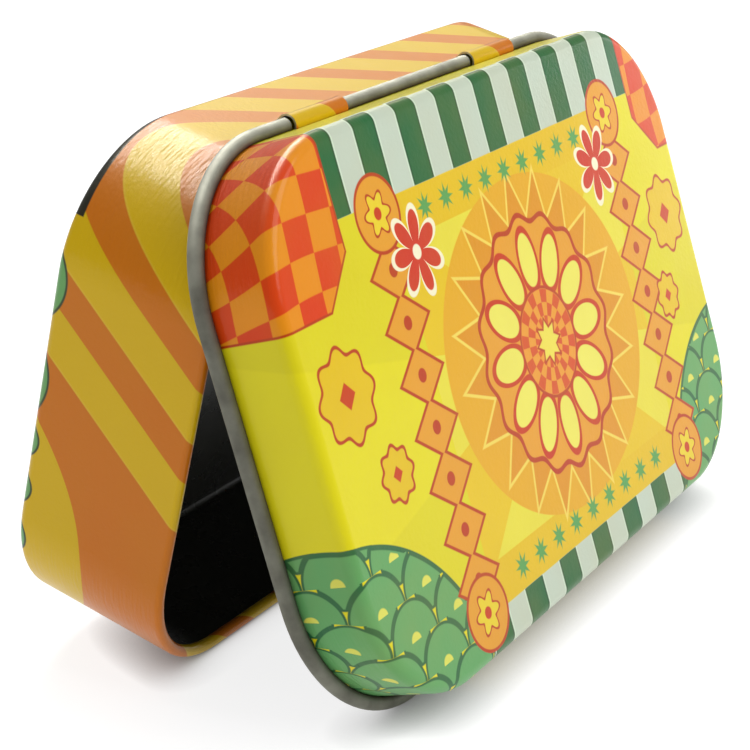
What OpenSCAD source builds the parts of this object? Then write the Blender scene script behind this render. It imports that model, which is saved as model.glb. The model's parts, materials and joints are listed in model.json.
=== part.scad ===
// Card game tin with a hinged lid, propped open like a tent.
// It is two drawn tinplate shells. Two tabs cut from the back wall of the base are curled
// round the bead that is rolled along the edge of the lid, and that bead turns in them.
// Rest pose: the hinge is on top, and both shells stand on their front edges.
// X runs along the hinge, the lid is towards -Y and the base towards +Y, Z is up.
// The origin is at the middle of the footprint, on the surface that the tin stands on.

/* [Tin] */
// Length of the base along the hinge
tin_l = 100; // [80:1:130]
// Width of the base from its front to the hinge side
tin_w = 64; // [50:1:90]
// Depth of the base
base_h = 21.5; // [18:0.5:35]
// Radius of the four corners in plan
corner_r = 16; // [8:0.5:20]
// Thickness of the tinplate
sheet_t = 0.25; // [0.2:0.01:0.3]

/* [Base] */
// Radius where the bottom turns up into the wall
bottom_edge_r = 1.2; // [0.6:0.1:2.5]
// Radius of the curl that turns inward along the rim
rim_curl_r = 0.75; // [0.6:0.05:1.2]
// Height of wall kept whole between a window and the rim's curl
rim_band = 0.8; // [0.4:0.1:2]

/* [Lid] */
// Height from the hinge line to the outer face of the lid
lid_h = 9.4; // [7:0.1:12]
// Radius of the shoulder round the lid's face
lid_edge_r = 1.6; // [1.2:0.1:2.2]
// Gap between the closed lid and the rim of the base
lid_rest_gap = 0.15; // [0.1:0.05:0.5]
// Play between the skirt and the base's wall as the lid swings past the rim
skirt_play = 0.08; // [0.05:0.01:0.4]
// Radius of the bead rolled along the edge of the skirt
bead_r = 0.95; // [0.8:0.05:1.3]

/* [Hinge] */
// Width of each knuckle
knuckle_w = 11.3; // [6:0.1:16]
// Distance between the middles of the two knuckles
knuckle_spacing = 43; // [24:1:46]
// Running gap between the bead and a knuckle
knuckle_gap = 0.08; // [0.04:0.01:0.1]
// Slope of the tab that leads from the wall out to a knuckle, in degrees
tab_slope = 30; // [20:1:40]
// Gap between a knuckle and each end of its slot in the skirt
slot_side_gap = 0.4; // [0.2:0.05:1]
// Gap between a knuckle and the upper edge of its slot
slot_top_gap = 0.12; // [0.08:0.01:0.3]
// How far the lid is open in the rest pose, in degrees
open_deg = 32; // [20:1:60]

/* [Hidden] */
$fn = 64;

// The curled edges stop short of a full turn. Angles are counted in the section, where
// 0 points away from the tin and 90 points up.
rim_curl_end = 250;
bead_end = 130;
knuckle_end = 225;
// Width of the seam where a swept edge overlaps its flat plate
seam = 1;
// What a cutting shape reaches past the sheet
cut_over = 0.2;
// What the slot reaches past the skirt, into the bead's seam
slot_over = 0.05;
// What the wall below a window reaches up into the root of its tab
root_over = 0.05;

// How far the front of the skirt swings inward before it has passed the rim.
// The gap round the base is rounded up to a whole drawing step.
drawing_step = 0.01;
rim_rise = lid_h - sheet_t - lid_rest_gap - rim_curl_r;
swing_in = tin_w - sqrt(pow(tin_w, 2) - pow(rim_rise, 2));
skirt_gap = ceil((swing_in + skirt_play) / drawing_step) * drawing_step;

// The hinge line, measured outward from the back wall, and up from the bottom of the base
hinge_out = skirt_gap + bead_r;
hinge_y = tin_w / 2 + hinge_out;
lid_top = base_h + lid_rest_gap + sheet_t;
hinge_z = lid_top - lid_h;

// A knuckle and the tab that carries it
knuckle_in_r = bead_r + knuckle_gap;
knuckle_out_r = knuckle_in_r + sheet_t;
knuckle_xs = [-knuckle_spacing / 2, knuckle_spacing / 2];
tab_start = tab_slope - 90;
tab_root_z = hinge_z - knuckle_out_r * cos(tab_slope)
    - (hinge_out + knuckle_out_r * sin(tab_slope)) * tan(tab_slope);
tab_run = (hinge_out + knuckle_out_r * sin(tab_slope)) / cos(tab_slope);
tab_curl = (knuckle_end - tab_start) * PI / 180 * (knuckle_in_r + sheet_t / 2);
window_top = min(tab_root_z + tab_run + tab_curl, base_h - 2 * rim_curl_r - rim_band);

// The slot in the skirt clears the knuckle at every angle of the lid
slot_rise = sqrt(pow(knuckle_out_r + slot_top_gap, 2) - pow(bead_r - sheet_t, 2));

function polar(r, a) = [r * cos(a), r * sin(a)];

// Stance. A section point is [y, z] in the frame of the base lying on its bottom.
// The lean puts the rim curl of the base and the bead of the lid on one level line.
hinge_yz = [hinge_y, hinge_z];
rim_front = [rim_curl_r - tin_w / 2, base_h - rim_curl_r];
bead_front = swung([-hinge_y, hinge_z]);
span = bead_front - rim_front;
lean = atan2(span[1], span[0]) - acos((bead_r - rim_curl_r) / norm(span));
stance = 90 - lean;

function turned(p, a) = [p[0] * cos(a) - p[1] * sin(a), p[0] * sin(a) + p[1] * cos(a)];
function swung(p) = hinge_yz + turned(p - hinge_yz, -open_deg);

// Centres and radii of the round edges that reach furthest to the front and the back
base_edge_y = tin_w / 2 - bottom_edge_r;
lid_edge_y = tin_w / 2 + skirt_gap + sheet_t - lid_edge_r;
round_edges = [
    [[base_edge_y, bottom_edge_r], bottom_edge_r],
    [[-base_edge_y, bottom_edge_r], bottom_edge_r],
    [rim_front, rim_curl_r],
    [bead_front, bead_r],
    [swung([lid_edge_y, lid_top - lid_edge_r]), lid_edge_r],
    [swung([-lid_edge_y, lid_top - lid_edge_r]), lid_edge_r],
    [hinge_yz, knuckle_out_r]
];
reach_front = min([for (e = round_edges) turned(e[0], stance)[0] - e[1]]);
reach_back = max([for (e = round_edges) turned(e[0], stance)[0] + e[1]]);
shift_y = -(reach_front + reach_back) / 2;
shift_z = rim_curl_r - turned(rim_front, stance)[1];

// ---- Shared shapes ----

// A sector of a disc that covers the angles from a0 to a1, at most 180 apart
module sector(r, a0, a1) {
    far = 3 * r;
    polygon([[0, 0], polar(far, a0), polar(far, (a0 + a1) / 2), polar(far, a1)]);
}

// The sheet in section, bent to an outer radius r, without its part from a0 to a1
module bent_sheet(r, a0, a1) {
    difference() {
        circle(r);
        circle(r - sheet_t);
        sector(r, a0, a1);
    }
}

// A quarter bend of the sheet, from a0 to a0 + 90
module quarter_bend(r, a0) {
    intersection() {
        difference() {
            circle(r);
            circle(r - sheet_t);
        }
        sector(r, a0, a0 + 90);
    }
}

module rounded_rect(l, w, r) {
    square([l - 2 * r, w], center = true);
    square([l, w - 2 * r], center = true);
    for (sx = [-1, 1], sy = [-1, 1])
        translate([sx * (l / 2 - r), sy * (w / 2 - r)]) circle(r);
}

// Sweeps a section round the plan of the tin. In the section X is the distance outside
// the base's wall and Y is the height above the bottom of the base.
module sweep_round() {
    side = tin_w - 2 * corner_r;
    front = tin_l - 2 * corner_r;
    for (turn = [0, 180]) {
        rotate(turn) rotate([90, 0, 0])
            linear_extrude(side, center = true) translate([tin_l / 2, 0]) children();
        rotate(turn + 90) rotate([90, 0, 0])
            linear_extrude(front, center = true) translate([tin_w / 2, 0]) children();
        rotate(turn) translate([front / 2, side / 2, 0])
            rotate_extrude(angle = 90) translate([corner_r, 0]) children();
        rotate(turn) translate([-front / 2, side / 2, 0]) rotate(90)
            rotate_extrude(angle = 90) translate([corner_r, 0]) children();
    }
}

// A flat plate of sheet that ends in the middle of the seam, inset from the base's wall
module plate(inset) {
    linear_extrude(sheet_t)
        rounded_rect(tin_l - 2 * inset, tin_w - 2 * inset, corner_r - inset);
}

// Extrudes a section along the back wall, centred at x
module along_back(x, w) {
    translate([x, tin_w / 2, 0]) rotate([90, 0, 90])
        linear_extrude(w, center = true) children();
}

// ---- Base ----

module base_section() {
    translate([-bottom_edge_r - seam, 0]) square([seam, sheet_t]);
    translate([-bottom_edge_r, bottom_edge_r]) quarter_bend(bottom_edge_r, 270);
    translate([-sheet_t, bottom_edge_r])
        square([sheet_t, base_h - bottom_edge_r - rim_curl_r]);
    translate([-rim_curl_r, base_h - rim_curl_r])
        bent_sheet(rim_curl_r, rim_curl_end, 360);
}

// A tab that leaves the wall, slopes outward and curls round the hinge line. Its straight
// run starts inside the wall's sheet and is cut off level with the wall's inner face.
module knuckle_section() {
    run_over = tab_run + 4 * sheet_t;
    intersection() {
        translate([hinge_out, hinge_z]) rotate(tab_slope) {
            bent_sheet(knuckle_out_r, knuckle_end - tab_slope, 270);
            translate([-run_over, -knuckle_out_r]) square([run_over, sheet_t]);
        }
        translate([-sheet_t, 0]) square([hinge_out + 2 * knuckle_out_r, lid_top]);
    }
}

// The opening that the tab was cut from, above its root
module window_section() {
    translate([-sheet_t - cut_over, tab_root_z + root_over])
        square([sheet_t + 2 * cut_over, window_top - tab_root_z - root_over]);
}

module base_shell() {
    color("goldenrod") {
        difference() {
            union() {
                sweep_round() base_section();
                plate(bottom_edge_r + seam / 2);
            }
            for (x = knuckle_xs) along_back(x, knuckle_w) window_section();
        }
        for (x = knuckle_xs) along_back(x, knuckle_w) knuckle_section();
    }
}

// ---- Lid ----

module lid_section() {
    translate([skirt_gap + sheet_t - lid_edge_r - seam, lid_top - sheet_t])
        square([seam, sheet_t]);
    translate([skirt_gap + sheet_t - lid_edge_r, lid_top - lid_edge_r])
        quarter_bend(lid_edge_r, 0);
    translate([skirt_gap, hinge_z]) square([sheet_t, lid_h - lid_edge_r]);
    translate([hinge_out, hinge_z]) bent_sheet(bead_r, bead_end, 180);
}

// Slot above the bead, through which a knuckle's tab comes out of the skirt
module slot_section() {
    translate([skirt_gap - cut_over, hinge_z - slot_over])
        square([sheet_t + cut_over + slot_over, slot_rise + slot_over]);
}

module lid_shell() {
    color("gold") difference() {
        union() {
            sweep_round() lid_section();
            translate([0, 0, lid_top - sheet_t])
                plate(lid_edge_r - skirt_gap - sheet_t + seam / 2);
        }
        for (x = knuckle_xs) along_back(x, knuckle_w + 2 * slot_side_gap) slot_section();
    }
}

// ---- Rest pose ----

module place_base() {
    translate([0, shift_y, shift_z]) rotate([stance, 0, 0]) children();
}

module place_lid() {
    place_base() translate([0, hinge_y, hinge_z]) rotate([-open_deg, 0, 0])
        translate([0, -hinge_y, -hinge_z]) children();
}

place_base() base_shell();
place_lid() lid_shell();
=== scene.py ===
# Looks of a hinged card tin, propped open like a tent: two printed tinplate shells.
# Each shell is modelled as its printed face, in millimetres, in the frame of the closed tin
# lying on its bottom: x runs along the hinge, y towards it, z up. The sheet's thickness is
# added behind that face, and the shell is then set in the pose that the frame gives.
import json
import math

import bpy
import numpy as np
from mathutils import Matrix, Vector


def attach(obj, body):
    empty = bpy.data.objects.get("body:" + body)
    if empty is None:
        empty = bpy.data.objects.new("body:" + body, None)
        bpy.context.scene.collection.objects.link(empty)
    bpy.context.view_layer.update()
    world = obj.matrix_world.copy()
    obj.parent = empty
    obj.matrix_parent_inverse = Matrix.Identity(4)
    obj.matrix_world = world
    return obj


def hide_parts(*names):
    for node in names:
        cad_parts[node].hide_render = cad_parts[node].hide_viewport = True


MM = 0.001

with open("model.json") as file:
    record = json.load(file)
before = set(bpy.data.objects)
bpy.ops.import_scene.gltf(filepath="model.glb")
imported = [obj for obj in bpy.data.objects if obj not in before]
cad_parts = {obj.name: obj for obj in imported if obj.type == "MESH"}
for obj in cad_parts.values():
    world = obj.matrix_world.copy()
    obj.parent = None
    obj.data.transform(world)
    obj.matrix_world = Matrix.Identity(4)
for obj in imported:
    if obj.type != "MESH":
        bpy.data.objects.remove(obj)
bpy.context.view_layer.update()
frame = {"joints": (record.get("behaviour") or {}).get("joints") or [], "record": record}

# ---- Sizes in millimetres ----

TIN_L, TIN_W = 100.0, 64.0  # the base's length along the hinge, and its width
BASE_H = 21.5
CORNER_R = 16.0
SHEET_T = 0.25
BOTTOM_EDGE_R = 1.2
RIM_CURL_R = 0.75
RIM_CURL_END = 250.0  # degrees, counted in the section from straight outward
LID_EDGE_R = 1.6
BEAD_R = 0.95
BEAD_END = 130.0
KNUCKLE_W = 11.3
KNUCKLE_XS = (-21.5, 21.5)
KNUCKLE_GAP = 0.08
KNUCKLE_END = 225.0
MOUTH_FLARE, MOUTH_DEPTH = 0.07, 0.5  # how a knuckle's two ends open out a little
TAB_SLOPE = 30.0
TAB_BEND_R = 3.0
TAB_PRINT = 0.6  # how much of the print's height each millimetre of the curled tab takes up
RIM_BAND = 0.8
SLOT_SIDE_GAP, SLOT_TOP_GAP = 0.4, 0.12

mounts = {m["name"]: m for m in frame["record"]["mounts"]}
hinge_point = Vector(frame["joints"][0]["pos_m"])


def lying_frame(origin, up):
    """The matrix that sets a shell modelled lying flat, in millimetres, in its place."""
    along = Vector((1, 0, 0))
    inward = up.cross(along)
    turn = Matrix((along, inward, up)).transposed().to_4x4()
    return Matrix.Translation(origin) @ turn @ Matrix.Scale(MM, 4)


base_up = -Vector(mounts["base_bottom"]["axis"]).normalized()
base_frame = lying_frame(Vector(mounts["base_bottom"]["pos_m"]), base_up)
lid_up = Vector(mounts["lid_top"]["axis"]).normalized()
HINGE_Y, HINGE_Z = (base_frame.inverted() @ hinge_point)[1:]
lid_height = (Vector(mounts["lid_top"]["pos_m"]) - hinge_point).dot(lid_up) / MM
LID_TOP = HINGE_Z + lid_height
lid_frame = lying_frame(Vector(mounts["lid_top"]["pos_m"]) - lid_up * LID_TOP * MM, lid_up)

HINGE_OUT = HINGE_Y - TIN_W / 2
SKIRT_OUT = HINGE_OUT - BEAD_R + SHEET_T  # the skirt's printed face, from the base's wall
KNUCKLE_R = BEAD_R + KNUCKLE_GAP + SHEET_T
SLOT_TOP = HINGE_Z + math.sqrt((KNUCKLE_R + SLOT_TOP_GAP) ** 2 - (BEAD_R - SHEET_T) ** 2)

# ---- Plan: the outline of the base's wall, from the middle of the near end ----

HALF_L, HALF_W = TIN_L / 2, TIN_W / 2
STRAIGHT_L, STRAIGHT_W = HALF_L - CORNER_R, HALF_W - CORNER_R
CORNER_STEPS = 24
STRAIGHT_STEP = 2.0
NO_TURN = 1e-6  # radians below which two neighbouring normals count as parallel


def straight_stops(half, extra=()):
    """Places along a straight side, from -half to half, with a stop at each extra place."""
    steps = round(2 * half / STRAIGHT_STEP)
    stops = [half * (2 * i / steps - 1) for i in range(steps + 1)]
    far_from_extra = [s for s in stops if all(abs(s - e) > STRAIGHT_STEP / 3 for e in extra)]
    return sorted(set(far_from_extra) | set(extra) | {-half, half})


def corner_arc(cx, cy, start):
    """Points of a corner with the angles of their normals, without the corner's two ends."""
    angles = [start - math.pi / 2 * i / CORNER_STEPS for i in range(1, CORNER_STEPS)]
    return [(cx + CORNER_R * math.cos(a), cy + CORNER_R * math.sin(a), a) for a in angles]


def outline_points():
    """Points of the wall's outline, each with the angle of its normal, once round."""
    cuts = [x + side * (KNUCKLE_W / 2 + gap)
            for x in KNUCKLE_XS for side in (-1, 1) for gap in (0, SLOT_SIDE_GAP)]
    mouths = [x + side * (KNUCKLE_W / 2 - depth)
              for x in KNUCKLE_XS for side in (-1, 1) for depth in (MOUTH_DEPTH / 2, MOUTH_DEPTH)]
    long_stops = straight_stops(STRAIGHT_L, cuts + mouths)
    short_stops = straight_stops(STRAIGHT_W)
    middle = min(range(len(short_stops)), key=lambda i: abs(short_stops[i]))
    found = [(-HALF_L, y, math.pi) for y in short_stops[middle:]]
    found += corner_arc(-STRAIGHT_L, STRAIGHT_W, math.pi)
    found += [(x, HALF_W, math.pi / 2) for x in long_stops]
    found += corner_arc(STRAIGHT_L, STRAIGHT_W, math.pi / 2)
    found += [(HALF_L, y, 0) for y in reversed(short_stops)]
    found += corner_arc(STRAIGHT_L, -STRAIGHT_W, 0)
    found += [(x, -HALF_W, -math.pi / 2) for x in reversed(long_stops)]
    found += corner_arc(-STRAIGHT_L, -STRAIGHT_W, -math.pi / 2)
    found += [(-HALF_L, y, math.pi) for y in short_stops[:middle + 1]]
    return found


def plan_outline():
    """Points, outward normals and the distance run, once round and back to the start."""
    found = outline_points()
    points = np.array([(x, y) for x, y, _ in found])
    normals = np.array([(math.cos(angle), math.sin(angle)) for _, _, angle in found])
    turn = 2 * np.arcsin(np.clip(np.linalg.norm(np.diff(normals, axis=0), axis=1) / 2, 0, 1))
    chords = np.linalg.norm(np.diff(points, axis=0), axis=1)
    runs = np.where(turn > NO_TURN, turn * CORNER_R, chords)
    return points, normals, np.concatenate([[0], np.cumsum(runs)])


PLAN, PLAN_NORMALS, PLAN_RUN = plan_outline()
# The line along the middle of the plan, which the flat plates are drawn towards
MEDIAL = np.stack([np.clip(PLAN[:, 0], HALF_W - HALF_L, HALF_L - HALF_W), 0 * PLAN[:, 0]], 1)
WALL_ROUND = float(PLAN_RUN[-1])


# ---- Sections: rows of (out, z, normal out, normal z, developed height, towards middle) ----
# out is the distance outside the base's wall. The developed height is what the flat sheet
# measured before it was drawn, so that the print runs on round every bend.

def arc_rows(centre, radius, start, end, steps, developed, inside=False):
    """Rows along an arc, without its first point. inside is True for a face within a curl."""
    rows = []
    for i in range(1, steps + 1):
        angle = math.radians(start + (end - start) * i / steps)
        run = radius * abs(math.radians(end - start)) * i / steps
        out, up = math.cos(angle), math.sin(angle)
        face = -1 if inside else 1
        rows.append((centre[0] + radius * out, centre[1] + radius * up,
                     face * out, face * up, developed + run, 0))
    return rows


def wall_rows(out, levels, developed_at_zero, direction):
    """Rows down or up a wall that faces outward."""
    return [(out, z, 1, 0, developed_at_zero + direction * z, 0) for z in levels]


def plate_rows(out, z, face, developed, steps=12):
    """Rows from the middle of a flat plate to its edge."""
    return [(out, z, 0, face, developed, 1 - i / steps) for i in range(steps + 1)]


TAB_RISE = HINGE_OUT + KNUCKLE_R * math.sin(math.radians(TAB_SLOPE))
TAB_CORNER_Z = (HINGE_Z - KNUCKLE_R * math.cos(math.radians(TAB_SLOPE))
                - TAB_RISE * math.tan(math.radians(TAB_SLOPE)))
TAB_BEND = 90 - TAB_SLOPE
TAB_TANGENT = TAB_BEND_R * math.tan(math.radians(TAB_BEND / 2))
TAB_ROOT_Z = TAB_CORNER_Z - TAB_TANGENT
RIM_LINE_Z = BASE_H - RIM_CURL_R
WINDOW_TOP = BASE_H - 2 * RIM_CURL_R - RIM_BAND


def base_section():
    edge = BOTTOM_EDGE_R * math.pi / 2
    start = BOTTOM_EDGE_R - edge
    rows = plate_rows(-BOTTOM_EDGE_R, 0, -1, start)
    rows += arc_rows((-BOTTOM_EDGE_R, BOTTOM_EDGE_R), BOTTOM_EDGE_R, 270, 360, 8, start)
    levels = [3, 5, 7, TAB_ROOT_Z, 10.5, 12, 13.5, 15, 16.5, WINDOW_TOP, 20, RIM_LINE_Z]
    rows += wall_rows(0, levels, 0, 1)
    rows += arc_rows((-RIM_CURL_R, RIM_LINE_Z), RIM_CURL_R, 0, RIM_CURL_END, 20, RIM_LINE_Z)
    return rows


def lid_section():
    """From the middle of the lid's face outward, down the skirt and round inside the bead."""
    shoulder = LID_EDGE_R * math.pi / 2
    flat_end = SKIRT_OUT - LID_EDGE_R
    skirt_start = LID_TOP - LID_EDGE_R
    rows = plate_rows(flat_end, LID_TOP, 1, flat_end)
    rows += arc_rows((flat_end, skirt_start), LID_EDGE_R, 90, 0, 10, flat_end)
    levels = [19, 17.5, 16, 14.8, SLOT_TOP, HINGE_Z]
    rows += wall_rows(SKIRT_OUT, levels, flat_end + shoulder + skirt_start, -1)
    end = flat_end + shoulder + skirt_start - HINGE_Z
    inner_r = BEAD_R - SHEET_T
    rows += arc_rows((HINGE_OUT, HINGE_Z), inner_r, 180, 360 + BEAD_END, 28, end, inside=True)
    return rows


def tab_section():
    """From the wall below a window, out along the tab and round the hinge line."""
    slope = math.radians(TAB_SLOPE)
    bend = arc_rows((TAB_BEND_R, TAB_ROOT_Z), TAB_BEND_R, 180, 180 - TAB_BEND, 8, TAB_ROOT_Z,
                    inside=True)
    straight = TAB_RISE / math.cos(slope) - TAB_TANGENT
    developed = TAB_ROOT_Z + TAB_BEND_R * math.radians(TAB_BEND)
    start = Vector((TAB_TANGENT * math.cos(slope), TAB_CORNER_Z + TAB_TANGENT * math.sin(slope)))
    steps = 3
    run = [(start[0] + straight * i / steps * math.cos(slope),
            start[1] + straight * i / steps * math.sin(slope),
            math.sin(slope), -math.cos(slope), developed + straight * i / steps, 0)
           for i in range(1, steps + 1)]
    ring = arc_rows((HINGE_OUT, HINGE_Z), KNUCKLE_R, TAB_SLOPE - 90, KNUCKLE_END, 30,
                    developed + straight)
    root = [(0, TAB_ROOT_Z, 1, 0, TAB_ROOT_Z, 0)]
    return [(out, z, n_out, n_z, TAB_ROOT_Z + TAB_PRINT * (height - TAB_ROOT_Z), middle)
            for out, z, n_out, n_z, height, middle in root + bend + run + ring]


# ---- Sheet metal ----

PRINTED, BACK, CUT = 0, 1, 2  # material slots of a shell


def open_edges(faces):
    """Edges with a face on one side only, each with that face and the edge's place in it."""
    edges = {}
    for f, face in enumerate(faces):
        for k, v in enumerate(face):
            pair = (v, face[(k + 1) % len(face)])
            edges[frozenset(pair)] = None if frozenset(pair) in edges else (pair, f, k)
    return [found for found in edges.values() if found]


class Sheet:
    """A printed face, gathered as points with normals, print coordinates and faces."""

    def __init__(self):
        self.points, self.normals, self.faces, self.coords = [], [], [], []

    def sweep(self, section, columns, is_open=lambda x, y, low, high: False, flare=None):
        """Adds the section swept over these columns of the plan, without its open cells."""
        first = len(self.points)
        wall, sheet = [], []
        for c in columns:
            for out, z, n_out, n_z, developed, middle in section:
                if flare:
                    out, z = flare(c, out, z)
                edge = PLAN[c] + PLAN_NORMALS[c] * out
                x, y = edge * (1 - middle) + MEDIAL[c] * middle
                self.points.append((x, y, z))
                self.normals.append((*(PLAN_NORMALS[c] * n_out), n_z))
                flat = PLAN[c] + PLAN_NORMALS[c] * developed
                wall.append((PLAN_RUN[c], developed - middle * (HALF_W + out)))
                sheet.append((x, y) if middle else tuple(flat))
        rows = len(section)
        for i in range(len(columns) - 1):
            for j in range(rows - 1):
                x, y = (PLAN[columns[i]] + PLAN[columns[i + 1]]) / 2
                levels = sorted((section[j][1], section[j + 1][1]))
                if is_open(x, y, *levels):
                    continue
                corners = (i * rows + j, (i + 1) * rows + j, (i + 1) * rows + j + 1, i * rows + j + 1)
                self.faces.append([first + k for k in corners])
                self.coords.append([(wall[k], sheet[k]) for k in corners])

    def welded(self):
        """Points that meet become one, and faces that shrink to a line go."""
        keys = np.round(np.array(self.points), 4) + 0.0
        _, firsts, joined = np.unique(keys, axis=0, return_index=True, return_inverse=True)
        joined = joined.ravel()
        points = np.array(self.points)[firsts]
        normals = np.array(self.normals)[firsts]
        faces, coords = [], []
        for face, at in zip(self.faces, self.coords):
            kept = [k for k in range(len(face)) if joined[face[k]] != joined[face[k - 1]]]
            if len(kept) > 2:
                faces.append([int(joined[face[k]]) for k in kept])
                coords.append([at[k] for k in kept])
        return points, normals, faces, coords

    def thick_mesh(self, name, outward):
        """The mesh of the whole sheet. outward is 1 where the faces already turn outward."""
        points, normals, faces, coords = self.welded()
        if outward < 0:
            faces = [f[::-1] for f in faces]
            coords = [c[::-1] for c in coords]
        count = len(points)
        cut_faces, cut_coords = [], []
        for (a, b), f, k in open_edges(faces):
            at, then = coords[f][k], coords[f][(k + 1) % len(faces[f])]
            cut_faces.append([b, a, a + count, b + count])
            cut_coords.append([then, at, at, then])
        back = [[v + count for v in face[::-1]] for face in faces]
        all_faces = faces + back + cut_faces
        all_coords = coords + [c[::-1] for c in coords] + cut_coords
        slots = [PRINTED] * len(faces) + [BACK] * len(back) + [CUT] * len(cut_faces)
        mesh = bpy.data.meshes.new(name)
        mesh.from_pydata(np.concatenate([points, points - normals * SHEET_T]).tolist(), [], all_faces)
        mesh.polygons.foreach_set("material_index", slots)
        mesh.polygons.foreach_set("use_smooth", [True] * len(all_faces))
        for layer, which in (("wall", 0), ("sheet", 1)):
            uv = mesh.uv_layers.new(name=layer)
            flat = [value for face in all_coords for corner in face for value in corner[which]]
            uv.uv.foreach_set("vector", flat)
        both = np.concatenate([normals, -normals])
        mesh.normals_split_custom_set(self.corner_normals(mesh, both, slots))
        return mesh

    @staticmethod
    def corner_normals(mesh, normals, slots):
        """Smooth over the sheet's two faces, and square across its cut edges."""
        found = []
        for polygon, slot in zip(mesh.polygons, slots):
            for v in polygon.vertices:
                found.append(tuple(polygon.normal) if slot == CUT else tuple(normals[v]))
        return found


def make_shell(name, mesh, place, body, materials):
    obj = bpy.data.objects.new(name, mesh)
    bpy.context.scene.collection.objects.link(obj)
    mesh.transform(place)
    for material in materials:
        mesh.materials.append(material)
    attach(obj, body)
    return obj


def over_knuckle(x, y, reach):
    return y > HALF_W - 0.1 and any(abs(x - k) < reach for k in KNUCKLE_XS)


def base_mesh():
    sheet = Sheet()
    last = len(PLAN) - 1

    def window(x, y, low, high):
        inside = low >= TAB_ROOT_Z - 0.01 and high <= WINDOW_TOP + 0.01
        return inside and over_knuckle(x, y, KNUCKLE_W / 2)

    def flared(column, out, z):
        """A knuckle's mouth is a little wider than its middle."""
        depth = min(KNUCKLE_W / 2 - abs(PLAN[column][0] - k) for k in KNUCKLE_XS
                    if abs(PLAN[column][0] - k) < KNUCKLE_W / 2 + 0.01)
        reach = math.hypot(out - HINGE_OUT, z - HINGE_Z)
        on_ring = max(0, 1 - (reach - KNUCKLE_R) / TAB_BEND_R)
        grown = 1 + MOUTH_FLARE / KNUCKLE_R * on_ring * max(0, 1 - depth / MOUTH_DEPTH) ** 2
        return HINGE_OUT + (out - HINGE_OUT) * grown, HINGE_Z + (z - HINGE_Z) * grown

    sheet.sweep(base_section(), range(last + 1), window)
    for k in KNUCKLE_XS:
        columns = [c for c in range(last + 1)
                   if PLAN[c][1] > HALF_W - 0.01 and abs(PLAN[c][0] - k) < KNUCKLE_W / 2 + 0.01]
        sheet.sweep(tab_section(), columns, flare=flared)
    return sheet.thick_mesh("base_sheet", -1)


def lid_mesh():
    sheet = Sheet()

    def slot(x, y, low, high):
        inside = low >= HINGE_Z - 0.01 and high <= SLOT_TOP + 0.01
        return inside and over_knuckle(x, y, KNUCKLE_W / 2 + SLOT_SIDE_GAP)

    sheet.sweep(lid_section(), range(len(PLAN)), slot)
    return sheet.thick_mesh("lid_sheet", 1)


# ---- Prints: patterns worked out in shader nodes from places in millimetres ----

INK_EDGE = 0.14  # how wide the edge of a printed shape looks


def tone(red, green, blue):
    """A colour as it looks on a screen, 0 to 255, as Blender's linear values."""
    def linear(value):
        value /= 255
        return value / 12.92 if value <= 0.04045 else ((value + 0.055) / 1.055) ** 2.4
    return (linear(red), linear(green), linear(blue), 1)


class Value:
    """A number in a shader. Arithmetic on it adds the nodes that work it out."""

    def __init__(self, tree, socket):
        self.tree, self.socket = tree, socket

    def apply(self, operation, *others, clamp=False):
        node = self.tree.nodes.new("ShaderNodeMath")
        node.operation = operation
        node.use_clamp = clamp
        for i, item in enumerate((self, *others)):
            if isinstance(item, Value):
                self.tree.links.new(item.socket, node.inputs[i])
            else:
                node.inputs[i].default_value = item
        return Value(self.tree, node.outputs[0])

    def __add__(self, other):
        return self.apply("ADD", other)

    def __sub__(self, other):
        return self.apply("SUBTRACT", other)

    def __mul__(self, other):
        return self.apply("MULTIPLY", other)

    def __truediv__(self, other):
        return self.apply("DIVIDE", other)

    def __mod__(self, other):
        return self.apply("FLOORED_MODULO", other)

    def __rsub__(self, other):
        return self.apply("MULTIPLY_ADD", -1, other)

    def __neg__(self):
        return self.apply("MULTIPLY", -1)

    def __abs__(self):
        return self.apply("ABSOLUTE")

    def times_plus(self, factor, term):
        return self.apply("MULTIPLY_ADD", factor, term)

    def least(self, other):
        return self.apply("MINIMUM", other)

    def most(self, other):
        return self.apply("MAXIMUM", other)


def length(x, y):
    return x.apply("MULTIPLY_ADD", x, y * y).apply("SQRT")


def rotated(x, y, degrees):
    c, s = math.cos(math.radians(degrees)), math.sin(math.radians(degrees))
    return (x * c).apply("ADD", y * s), (y * c).apply("SUBTRACT", x * s)


def repeated(value, pitch):
    """The value measured from the nearest of the places that lie a pitch apart."""
    return (value + pitch / 2) % pitch - pitch / 2


def chained(value, pitch, count):
    """The same for only this odd count of places, the middle one at zero."""
    half = (count - 1) / 2
    nearest = (value / pitch).apply("ROUND").most(-half).least(half)
    return nearest.times_plus(-pitch, value)


def rhombus(x, y, half_x, half_y):
    slant = math.hypot(half_x, half_y)
    return abs(x) * (half_y / slant) + abs(y) * (half_x / slant) - half_x * half_y / slant


def checked(a, b):
    """Negative on every other cell, where a and b are distances from the lines of a grid."""
    return a.least(b).most(-a.most(b))


def star(x, y, points, outer, inner, turn=0.0):
    """Distance from a star with straight sides."""
    half = math.pi / points
    angle = abs(repeated(y.apply("ARCTAN2", x) + turn, 2 * half))
    reach = length(x, y)
    along, across = reach * angle.apply("COSINE"), reach * angle.apply("SINE")
    dx, dy = inner * math.cos(half) - outer, inner * math.sin(half)
    side = math.hypot(dx, dy)
    return (along - outer) * (dy / side) + across * (-dx / side)


def lobed(x, y, lobes, radius, depth):
    """Distance from a flower with round lobes."""
    swing = (y.apply("ARCTAN2", x) * lobes).apply("COSINE")
    return length(x, y) - swing.times_plus(depth, radius)


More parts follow.
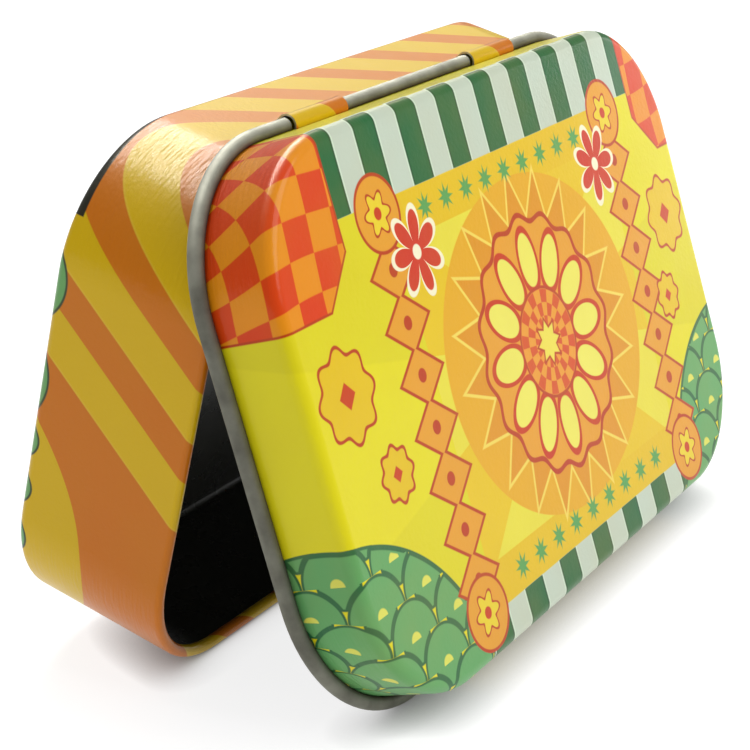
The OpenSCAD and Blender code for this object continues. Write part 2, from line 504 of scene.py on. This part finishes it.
def places(tree, coordinates):
    """Where a point of the surface is in one of its flat sets of coordinates."""
    uv = tree.nodes.new("ShaderNodeUVMap")
    uv.uv_map = coordinates
    split = tree.nodes.new("ShaderNodeSeparateXYZ")
    tree.links.new(uv.outputs["UV"], split.inputs[0])
    return Value(tree, split.outputs[0]), Value(tree, split.outputs[1])


class Print:
    """A print built up layer on layer. A shape is given by the distance from its edge."""

    def __init__(self, tree, coordinates, ground):
        self.tree, self.colour = tree, ground
        self.x, self.y = places(tree, coordinates)

    def put(self, colour, socket):
        if isinstance(colour, bpy.types.NodeSocket):
            self.tree.links.new(colour, socket)
        else:
            socket.default_value = colour

    def mixed(self, amount, below, above):
        node = self.tree.nodes.new("ShaderNodeMix")
        node.data_type = "RGBA"
        self.tree.links.new(amount.socket, node.inputs[0])
        self.put(below, node.inputs[6])
        self.put(above, node.inputs[7])
        return node.outputs[2]

    def cover(self, amount, colour):
        self.colour = self.mixed(amount, self.colour, colour)

    def fill(self, distance, colour, grown=0.0, scale=1.0):
        """Fills the shape, grown by so many millimetres. scale is the distance's steepness."""
        edge = 1 / (INK_EDGE * scale)
        self.cover(distance.apply("MULTIPLY_ADD", -edge, 0.5 + grown * scale * edge, clamp=True), colour)

    def outlined(self, distance, colour, line, width, grown=0.0):
        """Fills the shape, with a line of this width inside its edge."""
        self.fill(distance, line, grown)
        self.fill(distance, colour, grown - width)

    def vary(self, size, amount, dark):
        """Mottles the print a little with a darker tone."""
        noise = noise_value(self.tree, size, 3)
        self.cover(noise.apply("MULTIPLY_ADD", 2 * amount, -0.7 * amount, clamp=True), dark)


def noise_value(tree, size_mm, detail):
    """Noise over the surface, with features of about this size in millimetres."""
    place = tree.nodes.new("ShaderNodeTexCoord")
    scaled = tree.nodes.new("ShaderNodeMapping")
    scaled.inputs["Scale"].default_value = [1 / (size_mm * MM)] * 3
    tree.links.new(place.outputs["Object"], scaled.inputs["Vector"])
    noise = tree.nodes.new("ShaderNodeTexNoise")
    noise.inputs["Scale"].default_value = 1
    noise.inputs["Detail"].default_value = detail
    tree.links.new(scaled.outputs["Vector"], noise.inputs["Vector"])
    return Value(tree, noise.outputs["Fac"])


# ---- The lid's print ----

YELLOW = tone(228, 217, 22)
SHADE_YELLOW = tone(216, 205, 20)
DEEP_YELLOW = tone(228, 190, 12)
ORANGE = tone(229, 158, 40)
DEEP_ORANGE = tone(222, 148, 18)
RED = tone(200, 50, 8)
RED_LINE = tone(186, 54, 12)
WHITE = tone(196, 209, 190)
MINT = tone(212, 232, 206)
GREEN = tone(30, 102, 54)
DARK_GREEN = tone(24, 82, 46)
LEAF = tone(98, 165, 98)
LEAF_LINE = tone(36, 104, 62)
STAR_GREEN = tone(84, 160, 84)

PANEL_X, PANEL_Y = 2.0, -2.5  # the middle of the lid's panel
PANEL_HALF_X, PANEL_HALF_Y = 27.5, 25.3
BAND_Y, BAND_HALF = 22.6, 2.7  # the two bands of stars, from the middle of the panel
STAR_PITCH, STAR_COUNT = 5.0, 9
STRIPE_PITCH = 9.4
STRIPE_X, STRIPE_END_Y = -7.2, 33.3  # the middle of a green stripe, and where the stripes end
CHECKS_MIDDLE, CHECKS_X = 2.2, 38.2  # the checks begin so far to each side of this middle
SCALE_PITCH, SCALE_RISE = 9.6, 4.8


def print_stripes(ink, across, outer, inner):
    """Green and white stripes, each green one round at its outer end, with a pale outline."""
    stripe = abs(repeated(across, STRIPE_PITCH)) - STRIPE_PITCH / 4
    ink.fill(outer.most(inner), WHITE)
    cut = stripe.apply("SMOOTH_MAX", outer, 0.8)
    ink.fill(cut.most(inner + 0.25), MINT, 0.25)
    ink.fill(cut.most(inner), DARK_GREEN)
    ink.fill((cut + 0.35).most(inner), GREEN)


def print_checks(ink, x, y, edge):
    """Red and orange checks, askew, with a red outline."""
    u, v = rotated(x, y, 5)
    cell_u = repeated((v * 0.13).apply("SINE").times_plus(1.6, u), 9.4)
    cell_v = repeated((u * 0.17).apply("SINE").times_plus(0.9, v), 8.6)
    parity = checked(abs(cell_u) - 2.35, abs(cell_v) - 2.15)
    colour = ink.mixed(parity.apply("MULTIPLY_ADD", 1 / INK_EDGE, 0.5, clamp=True),
                       tone(218, 60, 8), tone(232, 142, 16))
    ink.outlined(edge, colour, RED_LINE, 0.3)


def ray_value(x, y):
    """Positive on every other one of the broad rays from the middle of the panel."""
    angle = y.apply("ARCTAN2", x)
    ray = (angle * 7).apply("COSINE") * length(x, y)
    return ray * 0.14


def print_rosette(ink, x, y):
    """A sun of scallops, petals and checks in the middle of the panel."""
    reach = length(x, y)
    angle = y.apply("ARCTAN2", x)
    ink.fill(length(x * 0.86, y) - 21.6, tone(229, 170, 22))
    spikes = star(x, y, 20, 23, 16.6)
    ink.outlined(spikes, DEEP_ORANGE, tone(240, 214, 90), 0.4)
    ink.fill(lobed(x, y, 16, 16.4, 0.55), RED_LINE)
    ink.fill(lobed(x, y, 16, 15.7, 0.55), ORANGE)
    petal = abs(repeated(angle, math.pi / 6)) * reach
    oval = length(petal * 1.75, reach - 10.8) - 3.5
    ink.fill(oval, RED, 0.75, 1.3)
    ink.fill(oval, tone(236, 228, 96), 0.0, 1.3)
    cell_a = abs(repeated(angle, math.pi / 6)) - math.pi / 24
    cell_r = abs(repeated(reach - 5.9, 3.4)) - 0.85
    parity = checked(cell_a * reach, cell_r)
    checks = ink.mixed(parity.apply("MULTIPLY_ADD", 1 / INK_EDGE, 0.5, clamp=True),
                       tone(214, 78, 26), tone(233, 156, 44))
    ink.fill(reach - 7.2, RED_LINE)
    ink.fill(reach - 6.8, checks)
    ink.outlined(star(x, y, 8, 3.4, 2.1), tone(236, 220, 80), RED_LINE, 0.3)


def print_chain(ink, x, y):
    """A chain of lozenges between two discs with flowers, with a bloom inside each end."""
    link = chained(y + 4, 6.3, 7)
    lozenge = rhombus(x, link, 5.2, 3.75)
    ink.outlined(lozenge, ORANGE, RED_LINE, 0.42)
    ink.fill(length(x, link) - 0.85, RED_LINE)
    end = abs(y + 2.75) - 24.3
    reach = length(x, end)
    ink.outlined(reach - 4.7, ORANGE, RED_LINE, 0.42)
    flower = lobed(x, end, 6, 2.4, 0.5)
    ink.outlined(flower, tone(234, 208, 40), RED_LINE, 0.35)
    ink.fill(reach - 0.75, RED)


def print_bloom(ink, x, y):
    """A fringed red bloom with a white outline."""
    angle = y.apply("ARCTAN2", x)
    petals = abs((angle * 3.5).apply("COSINE")).apply("POWER", 0.7)
    bloom = length(x, y) - petals.times_plus(3.7, 1.3)
    ink.fill(bloom, tone(246, 240, 206), 0.75)
    ink.fill(bloom, tone(206, 52, 28), 0.0)
    ink.fill(length(x, y) - 0.9, tone(246, 240, 206))


def print_flower(ink, x, y, size):
    shape = lobed(x, y, 8, size, size * 0.09)
    ink.outlined(shape, tone(228, 192, 16), RED_LINE, 0.45)
    ink.fill(rhombus(x, y, size * 0.3, size * 0.3), RED)


def print_scales(ink, x, y, edge):
    """Green overlapping scales, with yellow showing between them."""
    pitch, rise = SCALE_PITCH, SCALE_RISE
    row = (y / rise).apply("FLOOR")
    shift = (row % 2) * (pitch / 2)
    up = row.times_plus(-rise, y)
    near = length(repeated(x + shift, pitch), up) - pitch / 2
    far = length(repeated(x + shift + pitch / 2, pitch), up - rise) - pitch / 2
    ink.fill(edge, LEAF_LINE, 0.25)
    ink.fill(edge, YELLOW, -0.1)
    inside_near = near.most(edge)
    leaf = (far + 2.2).most(edge + 0.1)
    ink.fill(leaf.most(near * -1), LEAF_LINE, 0.35)
    ink.fill(leaf.most(near * -1 + 0.35), LEAF)
    ink.fill(inside_near, LEAF_LINE)
    ink.fill(inside_near, LEAF, -0.36)
    ink.fill((near + 3.6).most(edge + 0.4), tone(222, 222, 92), -0.2)


def print_panel(ink, x, y):
    """The ground with its rays, the panel, and a band of stars along each long side of it."""
    rays = ray_value(x, y)
    ink.cover(rays.apply("MULTIPLY_ADD", 3.0, 0.5, clamp=True) * 0.55, SHADE_YELLOW)
    beside = abs(x) - PANEL_HALF_X
    inner = rays.apply("MULTIPLY_ADD", 9.0, 0.5, clamp=True)
    ground = ink.mixed(inner, tone(231, 219, 62), tone(230, 195, 20))
    ink.fill(beside.most(abs(y) - PANEL_HALF_Y), ground)
    off_band = abs(y) - BAND_Y
    ink.fill(beside.most(abs(off_band) - BAND_HALF), DEEP_YELLOW)
    print_rosette(ink, x, y)
    ink.fill(star(chained(x, STAR_PITCH, STAR_COUNT), off_band, 8, 1.75, 0.75), STAR_GREEN)


def lid_artwork(tree):
    ink = Print(tree, "sheet", YELLOW)
    x, y = ink.x, ink.y
    px, py = x - PANEL_X, y - PANEL_Y
    side = abs(px)
    print_panel(ink, px, py)
    print_stripes(ink, x - STRIPE_X, y - STRIPE_END_Y, PANEL_HALF_Y - py)
    print_stripes(ink, x - STRIPE_X, -y - STRIPE_END_Y, py + PANEL_HALF_Y)
    corner = abs(x - CHECKS_MIDDLE) - CHECKS_X
    checks_edge = (-corner).most(13.5 - y).most(13.4 - (corner + y) * 0.7)
    print_checks(ink, x, y, checks_edge)
    leaf_edge = length(abs(x) - 54, y + 36) - 25.5
    print_scales(ink, x, y, leaf_edge)
    print_chain(ink, side - 30, y)
    print_bloom(ink, side - 24.2, y - 15.6)
    print_flower(ink, abs(x) - 43.2, y - 4.6, 5.3)
    print_flower(ink, abs(x) - 38.0, y + 6.2, 3.3)
    return ink


# ---- The base's print ----

BASE_YELLOW = tone(216, 178, 8)
BASE_ORANGE = tone(205, 113, 12)
PALE_LINE = tone(236, 206, 96)
HALF_ROUND = WALL_ROUND / 2
SEAM = 80  # how far before the middle of the near end the print's coordinate starts again

# The waves are numbered bands, one set falling along the wall and one rising. Each set has its
# slope, the millimetres up from one number to the next, and the number where both places are 0
FALL_SLOPE, FALL_PITCH, FALL_START = 1.496, 8.665, -5.149
RISE_SLOPE, RISE_PITCH, RISE_START = 0.639, 4.441, 5.228
WAVE_ROUNDING = 5.59
BANDS_ROUND = 24
# A round hill by the front corner of the near end: its middle along the wall, its curve, the
# band numbers for each millimetre up, and the height of its top with its number
HILL_MIDDLE, HILL_CURVE, HILL_RATE, HILL_TOP, HILL_BAND = -21, 0.028, 0.22, 9.9, 4.94

# The border of leaves round the bottom
BORDER_LEAVES = 40
BORDER_MIDDLE, BORDER_HALF = -4.2, 3.1
# Leaves that come up each end wall: the middle along it, half the width and half the height
END_LEAVES = ((14.6, 5.0, 4.1), (1.9, 5.0, 3.6), (-6.0, 2.8, 3.55), (-12.5, 2.7, 3.5), (-19.5, 3.3, 3.45))
LEAF_MIDDLE = -2.0  # how high the middle of such a leaf is
LEAF_EDGE = tone(32, 66, 48)
# The dark arc at a corner: where it starts and ends along the wall, its top and how that falls
ARC_START, ARC_END, ARC_LOW = 23.2, 41, -4.4
ARC_TOP, ARC_FALL = 1.6, 0.045


def wave_bands(along, up):
    """Which band of the slanting waves a place is in, counted across them."""
    a = (along + SEAM) % WALL_ROUND - SEAM
    falling = (a * FALL_SLOPE + up) / FALL_PITCH + FALL_START
    rising = (up - a * RISE_SLOPE) / RISE_PITCH + RISE_START
    bands = falling.most(-4.5).apply("SMOOTH_MIN", rising, WAVE_ROUNDING)
    next_turn = rising + (BANDS_ROUND - RISE_SLOPE / RISE_PITCH * WALL_ROUND)
    bands = bands.apply("SMOOTH_MAX", next_turn, 2)
    off_hill = a - HILL_MIDDLE
    hill = (off_hill * off_hill * HILL_CURVE + up) * HILL_RATE - (HILL_BAND + HILL_TOP * HILL_RATE)
    return bands.least(hill.most(-5.5))


def print_bottom_sun(ink, up):
    """A sun with rays inside a ruled line, in the middle of the bottom."""
    ink.fill(up + 0.5, BASE_YELLOW)
    x, y = places(ink.tree, "sheet")
    rays = (y.apply("ARCTAN2", x) * 16).apply("COSINE") * length(x, y * 1.5)
    ink.fill((up + 8.6).most(rays * 0.06), tone(226, 168, 14))
    ink.fill(abs(up + 8.3) - 0.3, BASE_ORANGE)
    ink.outlined(star(x, y, 16, 17, 12), DEEP_ORANGE, RED_LINE, 0.45)
    ink.outlined(lobed(x, y, 12, 9.4, 0.7), tone(232, 210, 40), RED_LINE, 0.45)
    ink.fill(star(x, y, 8, 6.2, 3.4), STAR_GREEN)


def print_bottom_border(ink, along, up):
    """A border of leaves with dark corners, which comes a little way up the wall."""
    end = (along + SEAM) % HALF_ROUND - SEAM
    pitch = WALL_ROUND / BORDER_LEAVES
    leaf = length(repeated(along, pitch) * 0.9, up - BORDER_MIDDLE) - BORDER_HALF
    leaf = leaf.most(3 * pitch - abs(end + pitch / 2))
    for middle, half_width, half_height in END_LEAVES:
        across = (end - middle) * (half_height / half_width)
        leaf = leaf.least(length(across, up - LEAF_MIDDLE) - half_height)
    ink.outlined(leaf, LEAF, LEAF_EDGE, 0.3)
    arc_top = end.times_plus(-ARC_FALL, ARC_TOP + ARC_FALL * ARC_START)
    arc = (ARC_START - end).most(end - ARC_END).most(up - arc_top).most(ARC_LOW - up)
    ink.fill(arc, tone(30, 34, 30))


def base_artwork(tree):
    ink = Print(tree, "wall", BASE_YELLOW)
    offset = repeated(wave_bands(ink.x, ink.y) + 0.5, 2)
    ink.cover(abs(offset - 0.03).apply("MULTIPLY_ADD", -26, 12.2, clamp=True) * 0.2, PALE_LINE)
    ink.cover(abs(offset).apply("MULTIPLY_ADD", -32, 14.6, clamp=True), BASE_ORANGE)
    print_bottom_sun(ink, ink.y)
    print_bottom_border(ink, ink.x, ink.y)
    return ink


# ---- Materials ----

PEEL_SIZE = 0.55  # millimetres from one dimple of the lacquer's orange peel to the next
DRAW_LINE_LENGTH, DRAW_LINE_PITCH, DRAW_LINE_DEPTH = 3.5, 0.4, 3
CORNER_FADE = 0.25  # how fast the draw lines come up from a corner's ends, for each millimetre
WALL_FADE = 0.4  # and how fast from the flat plate
# How far a corner's middle is from the middle of a long side, and half the corner's own run
CORNER_HALF = CORNER_R * math.pi / 4
CORNER_MIDDLE = STRAIGHT_L + CORNER_HALF

# The developed height at which the rolled bead ends, against the skirt
BEAD_RUN_END = (SKIRT_OUT + LID_EDGE_R * (math.pi / 2 - 2) + LID_TOP - HINGE_Z
                + (BEAD_R - SHEET_T) * math.radians(180 + BEAD_END))
BEAD_END_SHADE, BEAD_END_SHADE_RISE = tone(66, 46, 32), 2.2  # painted shade of the crease there, and how fast it rises for each millimetre


def new_material(name):
    material = bpy.data.materials.new(name)
    material.use_nodes = True
    tree = material.node_tree
    return material, tree, tree.nodes["Principled BSDF"]


def add_bump(tree, shader, height, strength, distance):
    bump = tree.nodes.new("ShaderNodeBump")
    bump.inputs["Strength"].default_value = strength
    bump.inputs["Distance"].default_value = distance * MM
    tree.links.new(height.socket, bump.inputs["Height"])
    tree.links.new(bump.outputs["Normal"], shader.inputs["Normal"])
    return bump


def draw_lines(tree):
    """Fine wrinkles that run round each corner, where the sheet was drawn."""
    along, up = places(tree, "wall")
    place = tree.nodes.new("ShaderNodeCombineXYZ")
    tree.links.new((along / DRAW_LINE_LENGTH).socket, place.inputs["X"])
    tree.links.new((up / DRAW_LINE_PITCH).socket, place.inputs["Y"])
    noise = tree.nodes.new("ShaderNodeTexNoise")
    noise.inputs["Scale"].default_value = 1
    noise.inputs["Detail"].default_value = 2
    tree.links.new(place.outputs[0], noise.inputs["Vector"])
    from_middle = abs(abs(along % HALF_ROUND - HALF_ROUND / 2) - CORNER_MIDDLE)
    on_corner = from_middle.apply("MULTIPLY_ADD", -CORNER_FADE, CORNER_FADE * CORNER_HALF, clamp=True)
    on_wall = up.apply("MULTIPLY", WALL_FADE, clamp=True)
    return Value(tree, noise.outputs["Fac"]) * on_corner * on_wall


def printed_material(name, artwork):
    """Lacquered print: a satin ink under a clear coat with a fine orange peel."""
    material, tree, shader = new_material(name)
    ink = artwork(tree)
    ink.vary(9, 0.12, tone(196, 150, 30))
    tree.links.new(ink.colour, shader.inputs["Base Color"])
    rough = noise_value(tree, 3, 3).times_plus(0.16, 0.32)
    tree.links.new(rough.socket, shader.inputs["Roughness"])
    shader.inputs["Specular IOR Level"].default_value = 0.15
    shader.inputs["Specular Tint"].default_value = (1, 0.85, 0.5, 1)
    shader.inputs["Coat Weight"].default_value = 0.28
    shader.inputs["Coat Roughness"].default_value = 0.1
    relief = noise_value(tree, PEEL_SIZE, 2) + draw_lines(tree) * DRAW_LINE_DEPTH
    bump = add_bump(tree, shader, relief, 0.55, 0.05)
    tree.links.new(bump.outputs["Normal"], shader.inputs["Coat Normal"])
    return material


def metal_material(name, light, dark, roughness, size):
    """Bare tinplate, a little mottled and dulled, with painted shade where the rolled bead ends against
    the skirt.
    """
    material, tree, shader = new_material(name)
    ink = Print(tree, "sheet", light)
    mottle = noise_value(tree, size, 5)
    ink.cover(mottle.apply("MULTIPLY_ADD", 2.4, -0.8, clamp=True), dark)
    run = places(tree, "wall")[1]
    # Painted shade: the tin turns darker towards the crease where the rolled bead ends against the skirt
    painted_shade = run.apply("MULTIPLY_ADD", BEAD_END_SHADE_RISE, 1 - BEAD_END_SHADE_RISE * BEAD_RUN_END, clamp=True)
    ink.cover(painted_shade * 0.8, BEAD_END_SHADE)
    tree.links.new(ink.colour, shader.inputs["Base Color"])
    shader.inputs["Metallic"].default_value = 1
    rough = mottle.times_plus(0.2, roughness)
    tree.links.new(rough.socket, shader.inputs["Roughness"])
    add_bump(tree, shader, mottle, 0.1, 0.01)
    return material


def lacquer_material(name):
    """The glossy black lacquer inside the base."""
    material, tree, shader = new_material(name)
    ink = Print(tree, "sheet", tone(44, 45, 40))
    ink.vary(6, 0.5, tone(60, 60, 54))
    tree.links.new(ink.colour, shader.inputs["Base Color"])
    rough = noise_value(tree, 4, 3).times_plus(0.12, 0.22)
    tree.links.new(rough.socket, shader.inputs["Roughness"])
    add_bump(tree, shader, noise_value(tree, 0.8, 2), 0.2, 0.04)
    return material


lid_print = printed_material("lid_print", lid_artwork)
base_print = printed_material("base_print", base_artwork)
bare_tin = metal_material("bare_tin", tone(142, 142, 130), tone(118, 117, 107), 0.64, 3)
black_lacquer = lacquer_material("black_lacquer")
cut_edge = metal_material("cut_edge", tone(228, 220, 196), tone(196, 186, 160), 0.35, 0.6)

# ---- Pieces ----

base = make_shell("printed_base", base_mesh(), base_frame, "base", [base_print, black_lacquer, cut_edge])
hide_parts("base_shell")
lid = make_shell("printed_lid", lid_mesh(), lid_frame, "lid", [lid_print, bare_tin, cut_edge])
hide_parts("lid_shell")

# ---- Camera ----

CAMERA_TARGET = Vector((-3.9, 2.2, 27.25)) * MM
CAMERA_AZIMUTH, CAMERA_ELEVATION, CAMERA_ROLL = 58.59, 19.16, -1.64  # degrees
CAMERA_DISTANCE = 263.75 * MM
CAMERA_LENS = 96.53


def make_camera():
    data = bpy.data.cameras.new("camera")
    camera = bpy.data.objects.new("camera", data)
    bpy.context.scene.collection.objects.link(camera)
    azimuth, elevation = math.radians(CAMERA_AZIMUTH), math.radians(CAMERA_ELEVATION)
    forward = Vector((math.sin(azimuth) * math.cos(elevation),
                      math.cos(azimuth) * math.cos(elevation), -math.sin(elevation)))
    level = forward.to_track_quat("-Z", "Y")
    roll = Matrix.Rotation(-math.radians(CAMERA_ROLL), 3, forward).to_quaternion()
    camera.location = CAMERA_TARGET - forward * CAMERA_DISTANCE
    camera.rotation_mode = "QUATERNION"
    camera.rotation_quaternion = roll @ level
    data.lens = CAMERA_LENS
    data.clip_start = 0.01
    bpy.context.scene.camera = camera


make_camera()

# ---- Floor and light ----

FLOOR_SIZE = 8.0
# How near the object the floor's white fades, in millimetres: as it is seen, straight or
# mirrored, and in the light that it throws back
SHADE_SEEN, SHADE_LIT = 5.0, 50.0
FLOOR_GLOW = 0.84
LOW_SKY, HIGH_SKY, SKY_STRENGTH = 0.42, 0.85, 0.56
HIGH_SKY_START = 0.85  # the sine of the angle above which the world is evenly bright

# The long lamp over the hinge side, in metres: its two ends, and the corner that it lights
STRIP_START, STRIP_END = (-0.13, 0.15, 0.58), (0.53, 0.31, 0.58)
NEAR_CORNER = (-0.045, 0, 0.05)


def floor_material():
    """A pale floor that glows white, less so where something stands near."""
    material, tree, shader = new_material("floor")
    ink = Print(tree, "UVMap", tone(146, 146, 146))
    ink.vary(60, 0.06, tone(138, 138, 138))
    tree.links.new(ink.colour, shader.inputs["Base Color"])
    shader.inputs["Roughness"].default_value = 0.9
    shader.inputs["Emission Color"].default_value = (1, 1, 1, 1)
    path = tree.nodes.new("ShaderNodeLightPath")
    nearby = tree.nodes.new("ShaderNodeAmbientOcclusion")
    seen = Value(tree, path.outputs["Is Camera Ray"])
    for mirrored in ("Is Glossy Ray", "Is Transmission Ray"):
        seen = seen.most(Value(tree, path.outputs[mirrored]))
    reach = seen.times_plus((SHADE_SEEN - SHADE_LIT) * MM, SHADE_LIT * MM)
    tree.links.new(reach.socket, nearby.inputs["Distance"])
    glow = Value(tree, nearby.outputs["AO"]) * FLOOR_GLOW
    tree.links.new(glow.socket, shader.inputs["Emission Strength"])
    return material


def make_floor():
    mesh = bpy.data.meshes.new("floor")
    half = FLOOR_SIZE / 2
    corners = [(-half, -half, 0), (half, -half, 0), (half, half, 0), (-half, half, 0)]
    mesh.from_pydata(corners, [], [(0, 1, 2, 3)])
    floor = bpy.data.objects.new("floor", mesh)
    bpy.context.scene.collection.objects.link(floor)
    mesh.materials.append(floor_material())


def make_lamp(name, start, end, width, target, radiance, colour=(1, 1, 1), only_shine=False):
    """A soft rectangular lamp, given by the middles of its two ends and by its width.
    One for only_shine is seen where the print or the metal mirrors it, and lights nothing."""
    start, end, target = Vector(start), Vector(end), Vector(target)
    middle = (start + end) / 2
    side = (end - start).normalized()
    across = (middle - target).cross(side).normalized()
    data = bpy.data.lights.new(name, "AREA")
    data.shape = "RECTANGLE"
    data.size, data.size_y = (end - start).length, width
    data.energy = radiance * math.pi * data.size * width
    data.color = colour
    lamp = bpy.data.objects.new(name, data)
    bpy.context.scene.collection.objects.link(lamp)
    turn = Matrix((side, across, side.cross(across))).transposed().to_4x4()
    lamp.matrix_world = Matrix.Translation(middle) @ turn
    lamp.visible_diffuse = not only_shine


def make_world():
    """A studio that is bright overhead and darker round the sides."""
    world = bpy.data.worlds.new("studio")
    bpy.context.scene.world = world
    world.use_nodes = True
    tree = world.node_tree
    background = tree.nodes["Background"]
    place = tree.nodes.new("ShaderNodeTexCoord")
    split = tree.nodes.new("ShaderNodeSeparateXYZ")
    tree.links.new(place.outputs["Generated"], split.inputs[0])
    height = Value(tree, split.outputs[2])
    ramp = tree.nodes.new("ShaderNodeValToRGB")
    tree.links.new(height.socket, ramp.inputs["Fac"])
    low, high = ramp.color_ramp.elements
    low.position, high.position = 0.0, HIGH_SKY_START
    low.color = (LOW_SKY, LOW_SKY, LOW_SKY, 1)
    high.color = (HIGH_SKY, HIGH_SKY, HIGH_SKY, 1)
    tree.links.new(ramp.outputs["Color"], background.inputs["Color"])
    background.inputs["Strength"].default_value = SKY_STRENGTH


make_floor()
make_lamp("corner_light", STRIP_START, STRIP_END, 0.12, NEAR_CORNER, 6.2)
make_lamp("corner_card", STRIP_START, STRIP_END, 0.14, NEAR_CORNER, 42, only_shine=True)
make_lamp("back_light", (0.62, 0.16, 0.42), (0.62, 0.46, 0.42), 0.3, (0, 0, 0.05), 1.6,
          colour=(1, 0.92, 0.62))
make_lamp("face_light", (0, -0.7, 0.5), (0.6, -0.7, 0.5), 0.6, (0, 0, 0.03), 3.7)
make_lamp("far_card", (0.55, -0.27, 0.05), (0.62, -0.1, 0.05), 0.3, (0.02, -0.02, 0.04), 2.5,
          only_shine=True)
make_world()
bpy.context.scene.view_settings.view_transform = "Standard"
